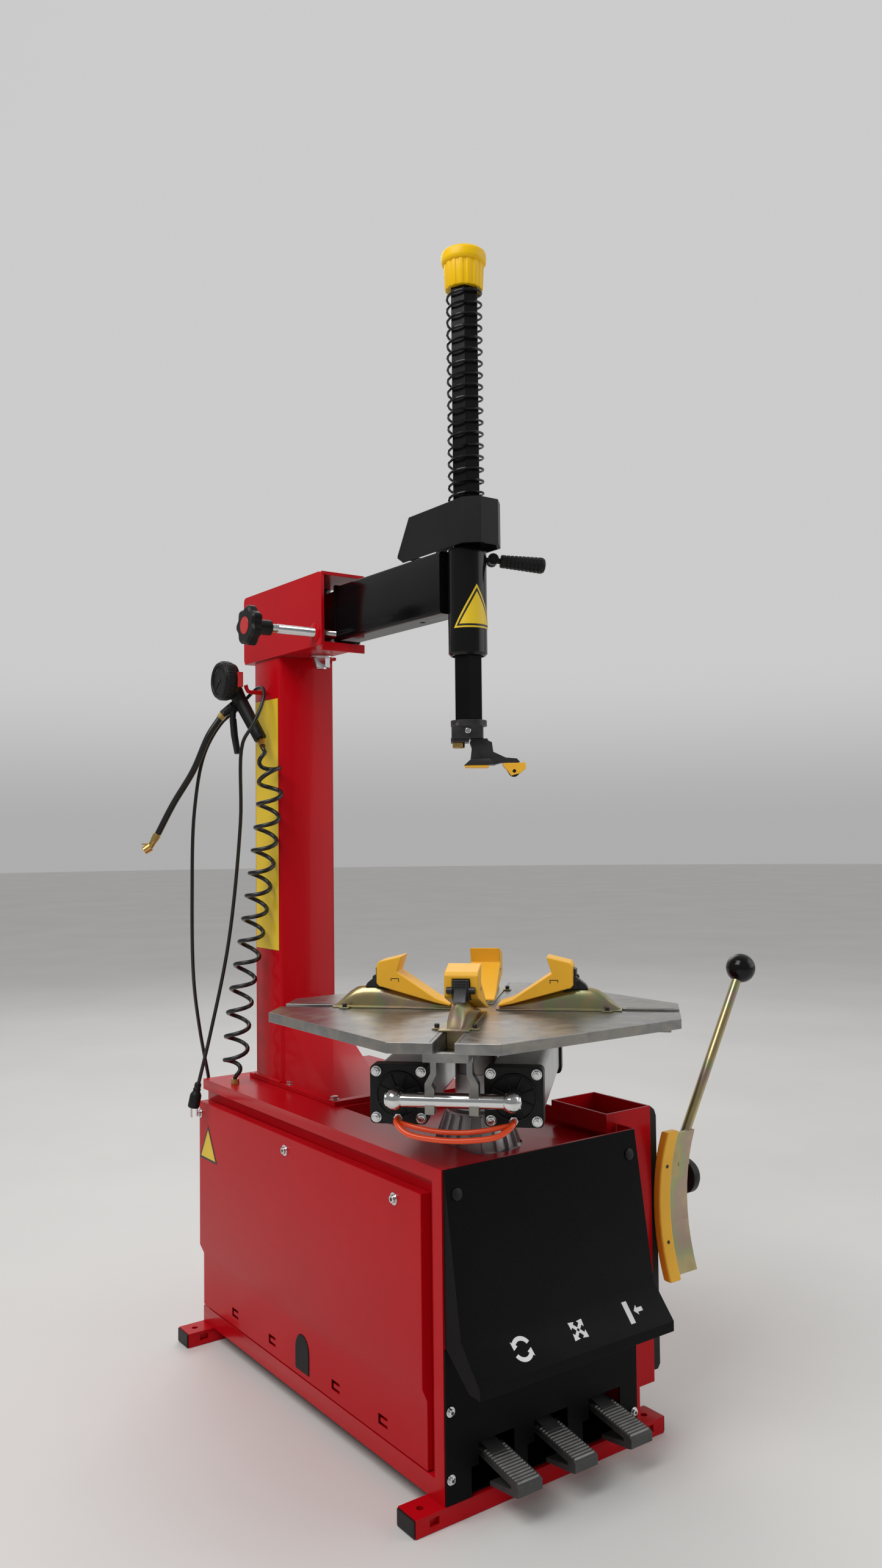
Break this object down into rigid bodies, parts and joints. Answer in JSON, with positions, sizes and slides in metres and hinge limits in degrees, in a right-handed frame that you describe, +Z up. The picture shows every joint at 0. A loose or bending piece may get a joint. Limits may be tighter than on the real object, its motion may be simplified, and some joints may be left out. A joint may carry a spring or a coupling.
{
  "type": "tyre changer",
  "caption": "Workshop tyre changer: red cabinet with pedals, clamping turntable, swing arm with sprung hexagonal mounting post, side bead breaker and inflator gun.",
  "frame": {"origin": "on the floor, in the middle of the footprint of everything but the hoses and the cable", "axes": "+Z up, -Y towards the operator, +X towards the bead breaker"},
  "size_m": [0.8153, 0.9063, 1.844],
  "materials": {
    "red_paint": "gloss powder coat",
    "black_paint": "textured powder coat",
    "black_plastic": "moulded",
    "yellow_plastic": "moulded",
    "orange_plastic": "moulded",
    "yellow_zinc": "yellow zinc plate",
    "table_steel": "galvanised",
    "dark_steel": "cast and machined",
    "bare_aluminium": "cast and extruded",
    "chrome": "plated",
    "black_rubber": "moulded",
    "orange_hose": "extruded hose",
    "black_cord": "extruded"
  },
  "bodies": {
    "machine": {"front_foot_bar": "red_paint", "rear_foot_bar": "red_paint", "cabinet_shell": "red_paint", "side_cover": "red_paint", "front_cover": "black_paint", "pedal_panel": "black_paint", "tool_tray": "red_paint", "wheel_rest_pad": "black_rubber", "column": "red_paint", "column_head": "red_paint", "pivot_bolt": "chrome", "gearbox": "bare_aluminium", "drive_belt": "black_rubber", "motor": "bare_aluminium", "pedal_shaft": "table_steel", "breaker_bracket": "red_paint", "breaker_cylinder": "bare_aluminium", "inflator_gun": "black_plastic", "inflator_hose": "black_cord", "hose_chuck": "yellow_zinc", "coil_hose": "black_cord", "power_cable": "black_cord", "power_plug": "black_plastic"},
    "turntable": {"turntable_plate": "table_steel", "turntable_hub": "table_steel"},
    "jaw_pair_front": {"jaw_1": "yellow_zinc", "jaw_1_guard": "orange_plastic", "cylinder_barrel_left": "bare_aluminium", "cylinder_barrel_right": "bare_aluminium", "cross_bar_front": "chrome", "cylinder_hose": "orange_hose"},
    "jaw_right": {"jaw_2": "yellow_zinc", "jaw_2_guard": "orange_plastic"},
    "jaw_pair_rear": {"jaw_3": "yellow_zinc", "jaw_3_guard": "orange_plastic", "cylinder_rods": "chrome"},
    "jaw_left": {"jaw_4": "yellow_zinc", "jaw_4_guard": "orange_plastic"},
    "swing_arm_body": {"swing_arm": "black_paint", "arm_cover": "black_plastic", "return_spring": "black_paint"},
    "post": {"hex_post": "black_paint", "post_cap": "yellow_plastic", "head_holder": "dark_steel", "mount_head": "dark_steel", "head_insert": "orange_plastic"},
    "lock_lever": {"lock_handle": "black_plastic"},
    "roller": {"head_roller": "black_plastic"},
    "left_pedal": {"pedal_left": "black_paint"},
    "middle_pedal": {"pedal_middle": "black_paint"},
    "right_pedal": {"pedal_right": "black_paint"},
    "breaker_arm_body": {"breaker_arm": "red_paint"},
    "breaker_rod_body": {"breaker_rod": "chrome"},
    "shovel_body": {"shovel": "yellow_zinc", "shovel_guard": "orange_plastic", "shovel_handle": "yellow_zinc"},
    "stop_knob": {"stop_screw": "dark_steel"},
    "big_pulley": {"gearbox_pulley": "bare_aluminium"},
    "small_pulley": {"motor_pulley": "bare_aluminium"},
    "gun_trigger": {"inflator_trigger": "black_plastic"}
  },
  "joints": [
    {"name": "turntable_spin", "type": "hinge", "parent": "machine", "child": "turntable", "pos_m": [-0.1174, -0.1665, 0.6], "axis": [0, 0, 1], "continuous": true},
    {"name": "jaw_1_slide", "type": "slide", "parent": "turntable", "child": "jaw_pair_front", "axis": [-0.7108, -0.7034, 0], "range_m": [0, 0.085]},
    {"name": "jaw_2_slide", "type": "slide", "parent": "turntable", "child": "jaw_right", "axis": [0.7034, -0.7108, 0], "range_m": [0, 0.085]},
    {"name": "jaw_3_slide", "type": "slide", "parent": "turntable", "child": "jaw_pair_rear", "axis": [0.7108, 0.7034, 0], "range_m": [0, 0.085]},
    {"name": "jaw_4_slide", "type": "slide", "parent": "turntable", "child": "jaw_left", "axis": [-0.7034, 0.7108, 0], "range_m": [0, 0.085]},
    {"name": "swing_arm_turn", "type": "hinge", "parent": "machine", "child": "swing_arm_body", "pos_m": [-0.1604, 0.2355, 1.32], "axis": [0, 0, 1], "range_deg": [0, 95]},
    {"name": "post_slide", "type": "slide", "parent": "swing_arm_body", "child": "post", "axis": [0, 0, 1], "range_m": [-0.25, 0], "stiffness_N_per_m": 400, "springref_m": 0.35, "deforming": ["return_spring"]},
    {"name": "lock_handle_turn", "type": "hinge", "parent": "swing_arm_body", "child": "lock_lever", "pos_m": [-0.11416, -0.2178, 1.357], "axis": [0.5, 0.866, 0], "range_deg": [0, 50]},
    {"name": "head_roller_spin", "type": "hinge", "parent": "post", "child": "roller", "pos_m": [-0.09298, -0.23836, 1.027], "axis": [0.5878, 0.809, 0], "continuous": true},
    {"name": "pedal_left_press", "type": "hinge", "parent": "machine", "child": "left_pedal", "pos_m": [-0.2114, -0.2025, 0.095], "axis": [1, 0, 0], "range_deg": [0, 4.5], "stiffness_Nm_per_rad": 25, "springref_deg": -9.17},
    {"name": "pedal_middle_press", "type": "hinge", "parent": "machine", "child": "middle_pedal", "pos_m": [-0.1094, -0.2025, 0.095], "axis": [1, 0, 0], "range_deg": [0, 4.5], "stiffness_Nm_per_rad": 25, "springref_deg": -9.17},
    {"name": "pedal_right_press", "type": "hinge", "parent": "machine", "child": "right_pedal", "pos_m": [-0.0014, -0.2025, 0.095], "axis": [1, 0, 0], "range_deg": [0, 4.5], "stiffness_Nm_per_rad": 25, "springref_deg": -9.17},
    {"name": "breaker_arm_swing", "type": "hinge", "parent": "machine", "child": "breaker_arm_body", "pos_m": [0.1076, 0.3975, 0.35], "axis": [0, 0, 1], "range_deg": [0, 6]},
    {"name": "breaker_rod_slide", "type": "slide", "parent": "machine", "child": "breaker_rod_body", "axis": [1, 0, 0], "range_m": [0, 0.068]},
    {"name": "shovel_tilt", "type": "hinge", "parent": "breaker_arm_body", "child": "shovel_body", "pos_m": [0.2036, -0.2605, 0.345], "axis": [0, 0, 1], "range_deg": [0, 12]},
    {"name": "stop_screw_turn", "type": "hinge", "parent": "machine", "child": "stop_knob", "pos_m": [-0.2674, 0.1415, 1.285], "axis": [1, 0, 0], "range_deg": [-360, 360]},
    {"name": "gearbox_pulley_spin", "type": "hinge", "parent": "machine", "child": "big_pulley", "pos_m": [-0.1174, -0.0555, 0.36], "axis": [0, 1, 0], "continuous": true},
    {"name": "motor_pulley_spin", "type": "hinge", "parent": "machine", "child": "small_pulley", "pos_m": [-0.1174, -0.0555, 0.18], "axis": [0, 1, 0], "continuous": true},
    {"name": "inflator_trigger_pull", "type": "hinge", "parent": "machine", "child": "gun_trigger", "pos_m": [-0.2784, 0.3595, 1.148], "axis": [-1, 0, 0], "range_deg": [0, 6], "stiffness_Nm_per_rad": 0.3, "springref_deg": -11.46}
  ],
  "couplings": [
    {"joint": "jaw_2_slide", "follows": "jaw_1_slide", "ratio": 1},
    {"joint": "jaw_3_slide", "follows": "jaw_1_slide", "ratio": 1},
    {"joint": "jaw_4_slide", "follows": "jaw_1_slide", "ratio": 1},
    {"joint": "breaker_rod_slide", "follows": "breaker_arm_swing", "m_per_rad": 0.64},
    {"joint": "gearbox_pulley_spin", "follows": "turntable_spin", "ratio": 10},
    {"joint": "motor_pulley_spin", "follows": "turntable_spin", "ratio": 17.857}
  ]
}
